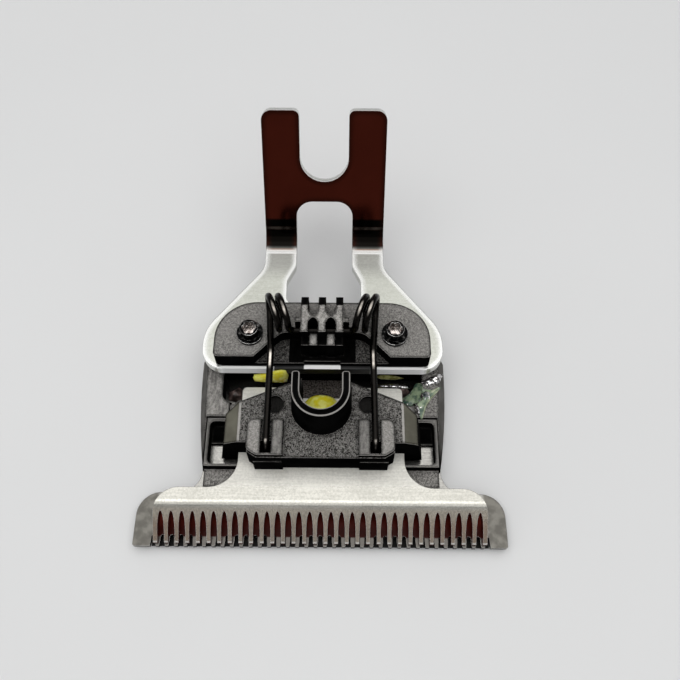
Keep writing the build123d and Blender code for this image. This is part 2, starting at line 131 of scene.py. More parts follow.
class Finish:
    """A node material in the making. Its methods add nodes and give back sockets."""

    def __init__(self, name):
        self.material = bpy.data.materials.new(name)
        self.material.use_nodes = True
        self.tree = self.material.node_tree
        self.shader = self.tree.nodes["Principled BSDF"]
        coordinates = self.add("ShaderNodeTexCoord").outputs["Object"]
        to_mm = (1 / MM, 1 / MM, 1 / MM)
        self.place = self.vector("MULTIPLY_ADD", coordinates, to_mm, (0, -TIP_Y / MM, 0))
        self.x, self.y, self.z = self.axes(self.place)
        geometry = self.add("ShaderNodeNewGeometry")
        self.face_normal = geometry.outputs["True Normal"]
        self.smooth_normal = geometry.outputs["Normal"]
        self.normal_x, self.normal_y, self.normal_z = self.axes(self.face_normal)

    def add(self, kind, **settings):
        node = self.tree.nodes.new(kind)
        for name, value in settings.items():
            setattr(node, name, value)
        return node

    def feed(self, socket, value):
        """A socket of another node is linked; a number or a colour is set."""
        if isinstance(value, bpy.types.NodeSocket):
            self.tree.links.new(value, socket)
        elif socket.type == "RGBA" and len(value) == 3:
            socket.default_value = (*value, 1)
        else:
            socket.default_value = value

    def fed(self, node, *values):
        """The node, with its first sockets fed in their order."""
        for socket, value in zip(node.inputs, values):
            self.feed(socket, value)
        return node

    def set(self, **values):
        """Sockets of the shader, by their names with underscores."""
        for name, value in values.items():
            self.feed(self.shader.inputs[name.replace("_", " ")], value)

    def vector(self, operation, *values):
        node = self.add("ShaderNodeVectorMath", operation=operation)
        return self.fed(node, *values).outputs["Vector"]

    def dot(self, vector, direction):
        node = self.add("ShaderNodeVectorMath", operation="DOT_PRODUCT")
        return self.fed(node, vector, direction).outputs["Value"]

    def axes(self, vector):
        return self.fed(self.add("ShaderNodeSeparateXYZ"), vector).outputs

    def math(self, operation, first, second=0.0):
        node = self.add("ShaderNodeMath", operation=operation)
        return self.fed(node, first, second).outputs[0]

    def chain(self, operation, first, others):
        for other in others:
            first = self.math(operation, first, other)
        return first

    def times(self, first, *others):
        return self.chain("MULTIPLY", first, others)

    def plus(self, first, *others):
        return self.chain("ADD", first, others)

    def either(self, first, *others):
        return self.chain("MAXIMUM", first, others)

    def inverse(self, value):
        return self.math("SUBTRACT", 1.0, value)

    def absolute(self, value):
        return self.math("ABSOLUTE", value)

    def remap(self, value, low, high, to_low=0.0, to_high=1.0):
        node = self.add("ShaderNodeMapRange", interpolation_type="SMOOTHSTEP")
        return self.fed(node, value, low, high, to_low, to_high).outputs[0]

    def within(self, value, low, high, soft):
        """1 between low and high, falling to 0 over the soft width outside them."""
        rising = self.remap(value, low - soft, low)
        falling = self.remap(value, high, high + soft, 1.0, 0.0)
        return self.times(rising, falling)

    def mix(self, share, first, second):
        node = self.add("ShaderNodeMix", data_type="RGBA")
        self.feed(node.inputs["Factor"], share)
        self.feed(node.inputs[MIX_FIRST], first)
        self.feed(node.inputs[MIX_SECOND], second)
        return node.outputs[MIX_RESULT]

    def noise(self, scale, detail, stretch=(1, 1, 1), roughness=0.5):
        """Cloudy noise; scale counts its features in a millimetre."""
        node = self.add("ShaderNodeTexNoise")
        self.feed(node.inputs["Vector"], self.vector("MULTIPLY", self.place, stretch))
        self.feed(node.inputs["Scale"], scale)
        self.feed(node.inputs["Detail"], detail)
        self.feed(node.inputs["Roughness"], roughness)
        return node.outputs["Fac"]

    def openness(self, distance):
        """1 on open faces and on outer edges, less in corners and grooves."""
        node = self.add("ShaderNodeAmbientOcclusion", samples=8, only_local=True)
        self.feed(node.inputs["Distance"], distance * MM)
        return node.outputs["AO"]

    def rounded(self, radius):
        """The normal with edges rounded off."""
        node = self.add("ShaderNodeBevel", samples=6)
        self.feed(node.inputs["Radius"], self.times(radius, MM))
        return node.outputs[0]

    def outer_edges(self, rounded):
        """A mask of the outer ones among the edges that a normal rounds off."""
        turned = self.remap(self.dot(rounded, self.smooth_normal), 0.995, 0.92)
        return self.times(turned, self.remap(self.openness(0.4), 0.6, 0.85))

    def bump(self, height, depth, normal=None):
        node = self.add("ShaderNodeBump")
        self.feed(node.inputs["Strength"], 1.0)
        self.feed(node.inputs["Height"], height)
        self.feed(node.inputs["Distance"], depth * MM)
        if normal is not None:
            self.feed(node.inputs["Normal"], normal)
        return node.outputs[0]

    def dress(self, piece):
        piece.data.materials.clear()
        piece.data.materials.append(self.material)


def plastic_finish(name, grain_and_sheen, smooth, side, edges, side_tilt=(0.3, 0.5), patches=()):
    """Black moulded plastic. Flat faces at some heights have grain or are polished: (height, dark, light);
    their grey tones paint the sheen of light on them, and the dark tones of sunken floors paint shade.
    Walls and other floors are smooth and black, the walls that face the front darker as painted shade, and
    slanted side faces have two tones of their own that paint their sheen. Outer edges have one tone, a
    painted dark line, and those that face the front another, a painted highlight that noise breaks up. A
    patch changes the tones of
    flat faces in a box: ((low, high) of x, y and z, dark, light)."""
    f = Finish(name)
    normal = f.rounded(0.13)
    edge = f.outer_edges(f.rounded(0.5))
    top = f.remap(f.normal_z, 0.95, 0.99)

    def flat(height):
        return f.times(top, f.within(f.z, height - 0.05, height + 0.05, 0.02))

    # Black walls; those that face the front are darker, as painted shade
    speckle = f.plus(f.times(f.noise(13.0, 2.0), 0.7), f.times(f.noise(4.0, 2.0), 0.3))
    cloud = f.remap(f.noise(0.45, 3.0), 0.3, 0.7)
    colour = f.mix(cloud, (0.0015, 0.0015, 0.0015), (0.004, 0.004, 0.004))
    outer_wall = f.times(f.remap(f.normal_y, -0.4, 0.1), f.remap(f.normal_z, 0.5, 0.2))
    colour = f.mix(outer_wall, colour, f.mix(cloud, grey(0.006), grey(0.013)))

    # Flat faces and patches of them: grain, and grey tones that paint light and shade on them
    grain = f.remap(speckle, 0.43, 0.585)
    lit = 0.0
    for height, dark, light in grain_and_sheen:
        here = flat(height)
        tone = f.mix(grain, grey(dark), grey(light))
        stronger = f.mix(grain, grey(dark * 0.7), grey(light * 1.05))
        colour = f.mix(here, colour, f.mix(cloud, tone, stronger))
        lit = f.either(lit, here)
    streaks = f.noise(3.0, 3.0, (1.0, 0.3, 1.0))
    fine = f.remap(f.plus(f.times(streaks, 0.35), f.times(speckle, 0.65)), 0.41, 0.59)
    for height, dark, light in smooth:
        colour = f.mix(flat(height), colour, f.mix(fine, grey(dark), grey(light)))
    for across, along, up, dark, light in patches:
        here = f.times(f.within(f.x, *across, 0.05), f.within(f.y, *along, 0.1))
        here = f.times(top, here, f.within(f.z, *up, 0.02))
        colour = f.mix(here, colour, f.mix(fine, grey(dark), grey(light)))

    # Slanted sides, with tones that paint the sheen of light on them
    sideways = f.remap(f.absolute(f.normal_x), 0.2, 0.3)
    slope = f.times(sideways, f.remap(f.normal_z, *side_tilt), f.inverse(top))
    colour = f.mix(slope, colour, f.mix(cloud, *side))

    # Outer edges: a painted dark line, and where they face the front a painted highlight that noise breaks
    # up
    facing = f.remap(f.dot(normal, (0, -1, 0)), 0.15, 0.3)
    edge_tone_share = f.either(f.inverse(facing), f.remap(f.noise(1.6, 2.0), 0.3, 0.6, 0.4, 0.85))
    edge_highlight_and_line = f.times(edge, edge_tone_share, f.remap(f.normal_z, 0.3, 0.7))
    edge_shade_line, front_edge_highlight = edges
    colour = f.mix(edge_highlight_and_line, colour, f.mix(facing, grey(edge_shade_line), grey(front_edge_highlight)))

    # The rounded rim of the drive cup, painted pale as a highlight
    rounding = f.within(f.normal_z, 0.2, 0.94, 0.03)
    rounding = f.times(rounding, f.remap(f.y, cup_rear + 0.3, cup_rear + 0.1))
    rim = f.times(f.within(f.z, cup_top - 0.12, cup_top + 0.05, 0.03), rounding)
    colour = f.mix(rim, colour, grey(0.34))

    roughness = f.plus(0.34, f.times(lit, 0.2))
    f.set(Base_Color=colour, Roughness=roughness, Specular_IOR_Level=0.0)
    f.set(Normal=f.bump(f.times(speckle, lit), 0.04, normal))
    return f


def satin_steel(f, scale):
    """Fine ground grain of bright steel: its colour share, its roughness and its bump height."""
    grain = f.noise(scale, 3.0)
    streaks = f.noise(3.0, 2.0, (0.12, 2.2, 1.0))
    cloud = f.noise(0.3, 3.0)
    share = f.plus(f.times(grain, 0.45), f.plus(f.times(streaks, 0.3), f.times(cloud, 0.25)))
    return f.remap(share, 0.36, 0.64), f.remap(cloud, 0.3, 0.7, 0.19, 0.25), grain


def cutter_finish():
    """Bright satin steel, with a pale matt zone round the carrier that is painted light. The ground teeth
    are duller and tan, with painted highlights on their edges and tips, and oil reddens the gaps between
    them."""
    f = Finish("cutter_steel")
    normal = f.rounded(0.1)
    edge = f.outer_edges(normal)
    share, roughness, grain = satin_steel(f, 5.0)
    colour = f.mix(share, (0.45, 0.438, 0.393), (0.59, 0.575, 0.52))

    # Teeth, with painted highlights on their edges and tips
    teeth = f.remap(f.y, 3.8, 3.2)
    ends = f.remap(f.absolute(f.x), 8.0, 17.0)
    lower = f.mix(ends, (0.54, 0.465, 0.375), (0.48, 0.375, 0.29))
    ground = f.mix(f.remap(f.y, 3.1, 1.8), (0.60, 0.545, 0.455), lower)
    scratches = f.remap(f.noise(5.0, 3.0, (1.0, 0.3, 1.0)), 0.35, 0.65)
    ground = f.mix(f.times(scratches, 0.45), ground, (0.33, 0.285, 0.25))
    colour = f.mix(teeth, colour, ground)
    colour = f.mix(f.times(edge, f.times(teeth, 0.8)), colour, (0.85, 0.82, 0.77))
    tips = f.remap(f.y, 0.5, 0.36)
    colour = f.mix(tips, colour, (0.97, 0.94, 0.88))

    # The pale matt flat round the carrier, painted light, and the walls of the gaps
    matt = f.times(f.remap(f.y, 5.2, 6.8, 0.0, 0.7), f.remap(f.normal_z, 0.9, 0.97))
    colour = f.mix(matt, colour, f.mix(share, (0.66, 0.645, 0.59), (0.83, 0.815, 0.75)))
    gap_walls = f.times(f.remap(f.normal_z, 0.4, 0.1), f.remap(f.y, 3.9, 3.5))
    colour = f.mix(gap_walls, colour, (0.085, 0.016, 0.011))

    metal = f.inverse(f.either(matt, f.times(gap_walls, 0.9)))
    f.set(Base_Color=colour, Metallic=metal, Roughness=f.plus(roughness, f.times(matt, 0.2)))
    f.set(Specular_IOR_Level=0.1, Normal=f.bump(grain, 0.005, normal))
    return f


def comb_finish():
    """Comb steel: oil-red where the cutter covers it, dull smudged guards at the sides, gaps painted dark
    as shade, painted highlights on the edges of its teeth, and specks where it shows behind the drive cup."""
    f = Finish("comb_steel")
    normal = f.rounded(0.1)
    edge = f.outer_edges(normal)
    share, roughness, grain = satin_steel(f, 4.0)
    colour = f.mix(share, (0.30, 0.29, 0.27), (0.42, 0.41, 0.38))
    colour = f.mix(f.remap(f.y, 1.6, 1.3), colour, (0.115, 0.107, 0.097))

    # Guards
    smudge = f.remap(f.noise(0.9, 4.0), 0.38, 0.66)
    reach = f.absolute(f.x)
    guard = f.remap(reach, 17.6, 18.2)
    guard_colour = f.mix(smudge, (0.11, 0.104, 0.092), (0.18, 0.172, 0.152))
    colour = f.mix(guard, colour, guard_colour)

    # Oil stain under the cutter, and painted highlights on the edges of the teeth
    top = f.remap(f.normal_z, 0.9, 0.98)
    covered = f.times(f.remap(f.y, 0.95, 1.12), f.times(f.inverse(guard), top))
    covered = f.times(covered, f.remap(f.y, 5.0, 4.6), f.remap(reach, 17.75, 17.55))
    rim_highlights = f.times(edge, 0.9, f.either(f.inverse(covered), f.remap(f.y, 1.6, 1.4)))
    covered = f.times(covered, f.inverse(rim_highlights))
    colour = f.mix(rim_highlights, colour, (0.50, 0.49, 0.47))
    stain = f.mix(f.noise(2.0, 3.0), (0.10, 0.013, 0.009), (0.17, 0.024, 0.016))
    stain = f.mix(f.remap(f.y, 2.9, 1.5), stain, (0.045, 0.007, 0.005))
    colour = f.mix(covered, colour, stain)

    # The part behind the drive cup, and the walls of the gaps, painted dark as shade
    drive_floor = f.times(f.remap(reach, 2.9, 2.3), f.within(f.y, 16.2, 20.4, 0.3), top)
    specks = f.remap(f.noise(6.0, 3.0), 0.36, 0.62)
    colour = f.mix(drive_floor, colour, f.mix(specks, (0.03, 0.026, 0.023), (0.17, 0.15, 0.135)))
    walls = f.times(f.remap(f.absolute(f.normal_z), 0.5, 0.2), f.inverse(guard), f.remap(f.y, 2.0, 1.5))
    colour = f.mix(walls, colour, (0.006, 0.005, 0.004))

    dull = f.either(covered, walls, drive_floor)
    f.set(Base_Color=colour, Metallic=f.inverse(f.times(dull, 0.95)))
    f.set(Roughness=f.plus(roughness, f.times(guard, 0.16)), Specular_IOR_Level=0.05)
    f.set(Normal=f.bump(f.plus(grain, f.times(smudge, guard)), 0.006, normal))
    return f


def bracket_finish():
    """White satin plate, darker towards the fork as painted shade. The fork's faces are painted a dark
    red-brown that stands for a dark reflection, and its sheared edges are bright as painted highlights. Its
    front edge carries a pale painted highlight and shades as if round, apart from a black stretch of
    painted reflection on each side of the middle."""
    f = Finish("bracket_steel")
    reach = f.absolute(f.x)
    front = f.times(f.remap(f.y, 19.6, 19.3), f.remap(reach, 11.9, 11.0))
    normal = f.rounded(f.remap(front, 0.0, 1.0, 0.12, 0.3))
    edge = f.outer_edges(f.rounded(1.2))
    share, roughness, grain = satin_steel(f, 4.5)
    # Darker towards the fork, as painted shade
    near = f.mix(share, (0.50, 0.505, 0.45), (0.58, 0.585, 0.525))
    far = f.mix(share, (0.33, 0.33, 0.30), (0.39, 0.39, 0.36))
    colour = f.mix(f.remap(f.y, 29.5, 32.5), near, far)

    # The fork, by the distance along it from the fold: its faces painted dark red-brown as a reflection,
    # with painted bands of reflection across the fold, and painted highlights on its edges and the fold
    # line
    fold_highlight = f.times(f.within(f.y, 33.8, 34.2, 0.15), f.remap(f.normal_z, 0.6, 0.8))
    along = f.dot(f.vector("SUBTRACT", f.place, (0, fold_y, bracket_top)), fork_along)
    fold_sum = fold_y + bracket_top
    in_fork = f.remap(f.plus(f.y, f.z), fold_sum - 2.0, fold_sum - 0.5)
    sheared = f.times(f.remap(f.dot(f.face_normal, fork_along), 0.75, 0.9), f.remap(along, 2.5, 3.0))
    sheared = f.either(sheared, f.remap(f.absolute(f.normal_x), 0.35, 0.6))
    fork_faces = f.times(in_fork, f.inverse(sheared))
    fork_reflection = f.mix(f.noise(0.35, 2.0), (0.082, 0.0145, 0.008), (0.11, 0.019, 0.0105))
    bands = f.either(f.within(along, -0.6, 1.5, 0.25), f.within(along, 2.05, 2.75, 0.35))
    fork_reflection = f.mix(bands, fork_reflection, (0.004, 0.0035, 0.003))
    fork_reflection = f.mix(f.within(along, 1.68, 1.85, 0.15), fork_reflection, (0.11, 0.09, 0.075))
    fork_reflection = f.mix(f.within(along, -0.9, -0.62, 0.15), fork_reflection, (0.20, 0.075, 0.035))
    fork_reflection = f.mix(f.times(edge, 0.75), fork_reflection, (0.02, 0.006, 0.004))
    colour = f.mix(fork_faces, colour, fork_reflection)
    bright = f.times(f.either(edge, fold_highlight), f.inverse(fork_faces))
    colour = f.mix(bright, colour, (0.88, 0.88, 0.86))

    # The front edge: a pale painted highlight, a black stretch of painted reflection each side of the
    # middle, and a normal tilted up so it shades as if round
    facing = f.remap(f.normal_y, -0.3, -0.7)
    outside = f.times(f.either(facing, f.remap(f.y, 18.66, 18.56)), f.remap(reach, 5.3, 5.5))
    middle = f.times(f.inverse(facing), f.remap(reach, 2.1, 2.0), f.remap(f.y, 18.85, 18.75))
    pale_front_highlight = f.either(outside, middle)
    colour = f.mix(front, colour, f.mix(pale_front_highlight, (0.004, 0.004, 0.0035), (0.96, 0.96, 0.94)))
    lift = f.add("ShaderNodeCombineXYZ")
    f.feed(lift.inputs["Z"], f.times(front, outside, 2.0))
    tilted_round_normal = f.vector("NORMALIZE", f.vector("ADD", normal, lift.outputs[0]))

    roughness = f.plus(f.math("SUBTRACT", roughness, f.times(fork_faces, 0.08)), f.times(front, 0.25))
    f.set(Base_Color=colour, Metallic=f.inverse(front), Roughness=roughness)
    f.set(Normal=f.bump(f.times(grain, f.inverse(fork_faces)), 0.005, tilted_round_normal))
    return f


def screw_finish():
    """Blackened screws, rubbed bright in patches; their edges are bright, partly rubbed and partly as a
    painted highlight, and the floors of their sockets carry a painted highlight.
    """
    f = Finish("screw_black")
    normal = f.rounded(0.1)
    edge = f.outer_edges(normal)
    rub = f.remap(f.noise(2.6, 4.0), 0.56, 0.62)
    colour = f.mix(f.times(rub, 0.2), (0.003, 0.003, 0.003), (0.34, 0.33, 0.31))
    # Bright outer edges: partly rubbed, partly a painted highlight
    edge_glint_and_rub = f.times(edge, f.remap(f.noise(1.5, 2.0), 0.4, 0.55, 0.15, 1.0))
    colour = f.mix(edge_glint_and_rub, colour, (0.85, 0.83, 0.80))
    # A painted highlight on the floors of the sockets
    at_floor = f.within(f.z, socket_floor - 0.1, socket_floor + 0.1, 0.02)
    socket = f.times(at_floor, f.remap(f.normal_z, 0.8, 0.9))
    socket_highlight = f.mix(f.remap(f.noise(1.8, 2.0), 0.4, 0.6), (0.28, 0.23, 0.20), (0.88, 0.79, 0.74))
    colour = f.mix(socket, colour, socket_highlight)
    pits = f.noise(8.0, 2.0)
    f.set(Base_Color=colour, Metallic=1.0, Roughness=f.remap(pits, 0.3, 0.7, 0.14, 0.24))
    f.set(Normal=f.bump(pits, 0.012, normal))
    return f


def spring_finish():
    """Black wire with painted highlights on top, at its coils, at the knees of its legs and at their tips.
    """
    f = Finish("spring_black")
    painted_glint = f.remap(f.dot(f.smooth_normal, (0, -0.25, 0.97)), 0.89, 0.985)
    at_knee = f.within(f.y, 17.8, 18.6, 0.8)
    at_tip = f.within(f.y, 9.0, 9.5, 0.3)
    at_coil = f.remap(f.z, 11.4, 12.2, 0.0, 0.6)
    painted_glint = f.times(painted_glint, f.either(at_coil, f.either(at_knee, at_tip)))
    patches = f.remap(f.noise(0.9, 3.0), 0.35, 0.6, 0.35, 1.0)
    colour = f.mix(f.times(painted_glint, patches), (0.011, 0.010, 0.009), (0.60, 0.55, 0.49))
    pits = f.noise(6.0, 2.0)
    f.set(Base_Color=colour, Metallic=1.0, Roughness=f.remap(pits, 0.3, 0.7, 0.22, 0.32))
    f.set(Normal=f.bump(pits, 0.008))
    return f


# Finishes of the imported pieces
def around(height):
    """A band of heights that takes in one flat face."""
    return (height - 0.1, height + 0.1)


def both_sides(near, far, along, height, dark, light):
    """Two patches of flat faces at a height, the same left and right."""
    return [(across, along, around(height), dark, light) for across in ((-far, -near), (near, far))]


# Tones of slanted sides, which paint the sheen of light on them
olive_slope_sheen = ((0.10, 0.095, 0.075), (0.15, 0.145, 0.115))
base_black = plastic_finish(
    "base_black",
    grain_and_sheen=[(rail_top, 0.02, 0.41), (ledge_top, 0.12, 0.42)],
    smooth=[(base_top, 0.28, 0.42)],
    side=(grey(0.09), grey(0.15)),
    edges=(0.03, 0.40),
    side_tilt=(0.2, 0.3),
    patches=[((-14.0, -10.5), (14.2, 20.0), around(rail_top), 0.14, 0.40)],
)
carrier_black = plastic_finish(
    "carrier_black",
    grain_and_sheen=[(carrier_top, 0.0, 0.27), (pad_top, 0.20, 0.43)],
    # The dimples' floors, painted dark as shade
    smooth=[(dimple_floor, 0.012, 0.024)],
    side=olive_slope_sheen,
    edges=(0.008, 0.30),
    patches=[
        # A painted highlight along the crease where the top meets each wing
        *both_sides(8.72, 9.0, (9.7, 14.2), carrier_top, 0.34, 0.44),
        # The pads' inner parts, darker as the painted shadow of the spring's legs
        *both_sides(3.9, 5.25, (7.9, 12.2), pad_top, 0.13, 0.30),
    ],
)
holder_black = plastic_finish(
    "holder_black",
    grain_and_sheen=[
        (holder_top, 0.16, 0.34), (rib_top, 0.20, 0.50), (tab_top, 0.36, 0.60), (recess_floor, 0.0, 0.13),
    ],
    smooth=[(nub_top, 0.30, 0.44)],
    side=olive_slope_sheen,
    edges=(0.008, 0.34),
    # The middle of the recess floor, painted near black as shade
    patches=both_sides(-0.1, 3.7, (18.0, 22.0), recess_floor, 0.001, 0.003),
)
base_black.dress(nodes["base_frame"])
carrier_black.dress(nodes["drive_carrier"])
holder_black.dress(nodes["spring_holder"])
cutter_finish().dress(nodes["cutter_blade"])
comb_finish().dress(nodes["fixed_blade"])
bracket_finish().dress(nodes["fork_bracket"])
screw_finish().dress(nodes["clamp_screws"])

# The spring's legs swing with the cutter; a copy of the spring, taken off its body, stands for the rigid
# one
spring = nodes["torsion_spring"].copy()
spring.data = nodes["torsion_spring"].data.copy()
spring.name = "spring_wire"
spring.parent = None
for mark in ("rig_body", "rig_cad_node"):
    del spring[mark]
bpy.context.scene.collection.objects.link(spring)
spring_finish().dress(spring)
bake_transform(spring)
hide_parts("torsion_spring")


# Grease and grime
def gel_finish(name, deep, pale, roughness, glow=0.0, glints=1.0):
    """Soft grease: cloudy colour, wet shine and a little light that spreads inside.
    Where a noise is above the level of the glints, it shines white."""
    f = Finish(name)
    cloud = f.remap(f.noise(1.3, 4.0), 0.35, 0.65)
    shine = f.remap(f.noise(2.4, 3.0, roughness=0.6), glints, glints + 0.04)
    f.set(Base_Color=f.mix(shine, f.mix(cloud, deep, pale), (0.95, 0.93, 0.92)), Metallic=shine)
    f.set(Roughness=f.remap(cloud, 0.0, 1.0, roughness, roughness + 0.12))
    f.set(Subsurface_Weight=glow, Subsurface_Radius=(1, 0.8, 0.5), Subsurface_Scale=0.3 * MM)
    f.set(Normal=f.bump(f.noise(2.5, 3.0), 0.08))
    return f


def finished(name, shape, body, finish):
    """A drawn shape made into a piece that rides on a body. Faces of many corners stay flat."""
    most_smooth_corners = 4
    bmesh.ops.recalc_face_normals(shape, faces=shape.faces)
    for face in shape.faces:
        face.smooth = len(face.verts) <= most_smooth_corners
    mesh = bpy.data.meshes.new(name)
    shape.to_mesh(mesh)
    shape.free()
    piece = bpy.data.objects.new(name, mesh)
    bpy.context.scene.collection.objects.link(piece)
    finish.dress(piece)
    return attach(piece, body)


def swelling(share):
    """Height of a lump's top from its middle, where it is 1, to its rim."""
    return (1 - share * share) ** 0.7


def close_dome(shape, peak, rows):
    """Faces of a dome: a fan round its peak, bands between its rows and one face below."""
    count = len(rows[0])
    for spoke in range(count):
        after = (spoke + 1) % count
        shape.faces.new((peak, rows[0][spoke], rows[0][after]))
        for inner, outer in zip(rows, rows[1:]):
            shape.faces.new((inner[spoke], outer[spoke], outer[after], inner[after]))
    shape.faces.new(reversed(rows[-1]))


def blob(name, body, finish, centre, half_x, half_y, height, lumps, seed, turn=0.0):
    """A closed lump with an uneven rim that lies on the surface below its centre."""
    rings = 14
    spokes = 48
    sink = 0.04
    rim_waves = 1.4
    top_waves = 1.7
    top_seed = seed + 5
    shape = bmesh.new()
    peak = shape.verts.new(at(*centre) + Vector((0, 0, height * MM)))
    rows = []
    for ring in range(1, rings + 1):
        share = ring / rings
        row = []
        for spoke in range(spokes):
            angle = 2 * math.pi * spoke / spokes
            rim = noise.noise(Vector((rim_waves * math.cos(angle), rim_waves * math.sin(angle), seed)))
            x = share * half_x * math.cos(angle) * (1 + lumps * rim)
            y = share * half_y * math.sin(angle) * (1 + lumps * rim)
            wave = noise.noise(Vector((top_waves * x, top_waves * y, top_seed)))
            z = height * swelling(share) * (1 + lumps * wave * share) - sink * share
            place = Matrix.Rotation(turn, 3, "Z") @ Vector((x, y, z))
            row.append(shape.verts.new(at(*centre) + place * MM))
        rows.append(row)
    close_dome(shape, peak, rows)
    return finished(name, shape, body, finish)


def between(before, start, end, after, share):
    """A point on the smooth curve from start to end, which the points beside them steer."""
    slope = (end - before) * share
    bend = (2 * before - 5 * start + 4 * end - after) * share ** 2
    twist = (3 * start - before - 3 * end + after) * share ** 3
    return start + (slope + bend + twist) / 2


def pool(name, body, finish, centre, rim, floor_z, swell, seed):
    """A closed sheet of grease: its rim runs smoothly through points (x, y, z) round the centre, its top
    swells between them, and its underside lies at the floor's height."""
    rings = 10
    steps = 5
    waves = 1.5
    corners = [Vector(corner) for corner in rim]
    outline = []
    for index, corner in enumerate(corners):
        before, after, last = (corners[(index + shift) % len(corners)] for shift in (-1, 1, 2))
        outline.extend(between(before, corner, after, last, step / steps) for step in range(steps))
    middle = Vector(centre)
    shape = bmesh.new()
    peak = shape.verts.new(at(*(middle + Vector((0, 0, swell)))))
    rows = []
    for ring in range(1, rings + 1):
        share = ring / rings
        row = []
        for corner in outline:
            place = middle.lerp(corner, share)
            wave = noise.noise(Vector((waves * place.x, waves * place.y, seed)))
            place.z += swell * swelling(share) * (1 + wave * share)
            row.append(shape.verts.new(at(*place)))
        rows.append(row)
    rows.append([shape.verts.new(at(corner.x, corner.y, floor_z)) for corner in outline])
    close_dome(shape, peak, rows)
    return finished(name, shape, body, finish)


def strand(name, body, finish, points):
    """A closed thread of grease along points (x, y, z, half width, height), pointed at both ends."""
    sides = 14
    shape = bmesh.new()
    places = [Vector(point[:3]) for point in points]
    rows = []
    for index in range(1, len(points) - 1):
        ahead = places[index + 1] - places[index - 1]
        across = ahead.cross(Vector((0, 0, 1))).normalized()
        half_width, height = points[index][3:]
        row = []
        for side in range(sides):
            angle = 2 * math.pi * side / sides
            offset = across * half_width * math.cos(angle) + Vector((0, 0, height * math.sin(angle)))
            row.append(shape.verts.new(at(*(places[index] + offset))))
        rows.append(row)
    first = shape.verts.new(at(*places[0]))
    last = shape.verts.new(at(*places[-1]))
    for side in range(sides):
        after = (side + 1) % sides
        shape.faces.new((first, rows[0][after], rows[0][side]))
        shape.faces.new((last, rows[-1][side], rows[-1][after]))
        for near, far in zip(rows, rows[1:]):
            shape.faces.new((near[side], near[after], far[after], far[side]))
    return finished(name, shape, body, finish)


yellow = gel_finish("grease_yellow", (0.90, 0.80, 0.03), (1.0, 0.97, 0.22), roughness=0.2, glow=0.25)
faint_yellow = gel_finish("grease_thin", (0.24, 0.23, 0.06), (0.62, 0.60, 0.22), roughness=0.25, glow=0.2)
teal = gel_finish(
    "grease_teal", (0.055, 0.105, 0.075), (0.31, 0.39, 0.25), roughness=0.08, glow=0.2, glints=0.62,
)
pale_green = gel_finish(
    "grease_green", (0.26, 0.30, 0.19), (0.50, 0.53, 0.38), roughness=0.1, glow=0.2, glints=0.66,
)
wet = gel_finish("grime_wet", (0.012, 0.010, 0.010), (0.10, 0.09, 0.085), roughness=0.06, glints=0.49)
brown = gel_finish("grime_brown", (0.025, 0.017, 0.014), (0.20, 0.14, 0.125), roughness=0.35)
smoke = gel_finish("bubble_grey", (0.02, 0.03, 0.03), (0.34, 0.36, 0.38), roughness=0.1, glints=0.58)
# A near-black finish for the sheet that stands for shade in the comb's gaps
gap_shade = gel_finish("gap_shade_black", (0.004, 0.0035, 0.003), (0.010, 0.009, 0.008), roughness=0.9)

film_z = rail_top + 0.03
blob(
    "grease_drive", "cutter", yellow, (-0.1, 14.35, cutter_top),
    half_x=2.4, half_y=2.2, height=0.95, lumps=0.08, seed=1.0,
)
strand("grease_left", "frame", yellow, [
    (-8.0, 18.35, 4.7, 0.0, 0.0),
    (-7.75, 18.35, 4.7, 0.36, 0.65),
    (-7.0, 18.35, 4.75, 0.46, 0.8),
    (-6.2, 18.35, 4.95, 0.5, 1.05),
    (-5.4, 18.35, 5.25, 0.55, 1.45),
    (-4.6, 18.35, 5.4, 0.55, 1.6),
    (-4.1, 18.35, 5.4, 0.45, 1.5),
    (-3.85, 18.35, 5.4, 0.0, 0.0),
])
strand("grease_right", "frame", faint_yellow, [
    (6.0, 19.5, 2.7, 0.0, 0.0),
    (6.8, 19.45, 2.75, 0.22, 0.4),
    (7.6, 19.45, 2.65, 0.25, 0.45),
    (8.6, 19.45, 2.5, 0.22, 0.35),
    (9.6, 19.5, 2.3, 0.0, 0.0),
])
pool("smear_low", "frame", teal, (10.75, 16.85, 3.1), [
    (8.97, 16.6, 2.5),
    (9.7, 17.07, 2.7),
    (10.38, 17.67, 2.95),
    (10.8, 18.4, 3.2),
    (11.5, 18.1, 3.75),
    (11.55, 17.0, film_z),
    (11.5, 16.0, film_z),
    (10.95, 15.6, 3.5),
    (10.3, 15.6, 3.05),
    (9.6, 15.85, 2.9),
    (9.1, 16.2, 2.6),
], floor_z=comb_top, swell=0.1, seed=5.0)
pool("smear_film", "frame", teal, (11.7, 16.2, film_z), [
    (11.35, 18.0, film_z),
    (11.65, 17.55, film_z),
    (12.45, 17.38, film_z),
    (13.1, 17.5, film_z),
    (13.65, 17.75, film_z),
    (13.2, 17.15, film_z),
    (12.4, 16.3, film_z),
    (11.8, 15.5, film_z),
    (11.42, 14.4, film_z),
    (11.28, 13.75, film_z),
    (11.12, 13.9, film_z),
    (10.85, 14.5, film_z),
    (10.65, 15.2, film_z),
    (10.9, 15.75, film_z),
    (11.4, 16.1, film_z),
    (11.4, 17.0, film_z),
], floor_z=rail_top - 0.1, swell=0.14, seed=7.0)
blob(
    "smear_fan", "frame", pale_green, (12.8, 17.25, rail_top),
    half_x=0.7, half_y=0.2, height=0.24, lumps=0.3, seed=9.0, turn=0.62,
)
blob(
    "smear_ring", "frame", wet, (11.84, 16.7, rail_top),
    half_x=0.62, half_y=0.6, height=0.24, lumps=0.1, seed=15.0,
)
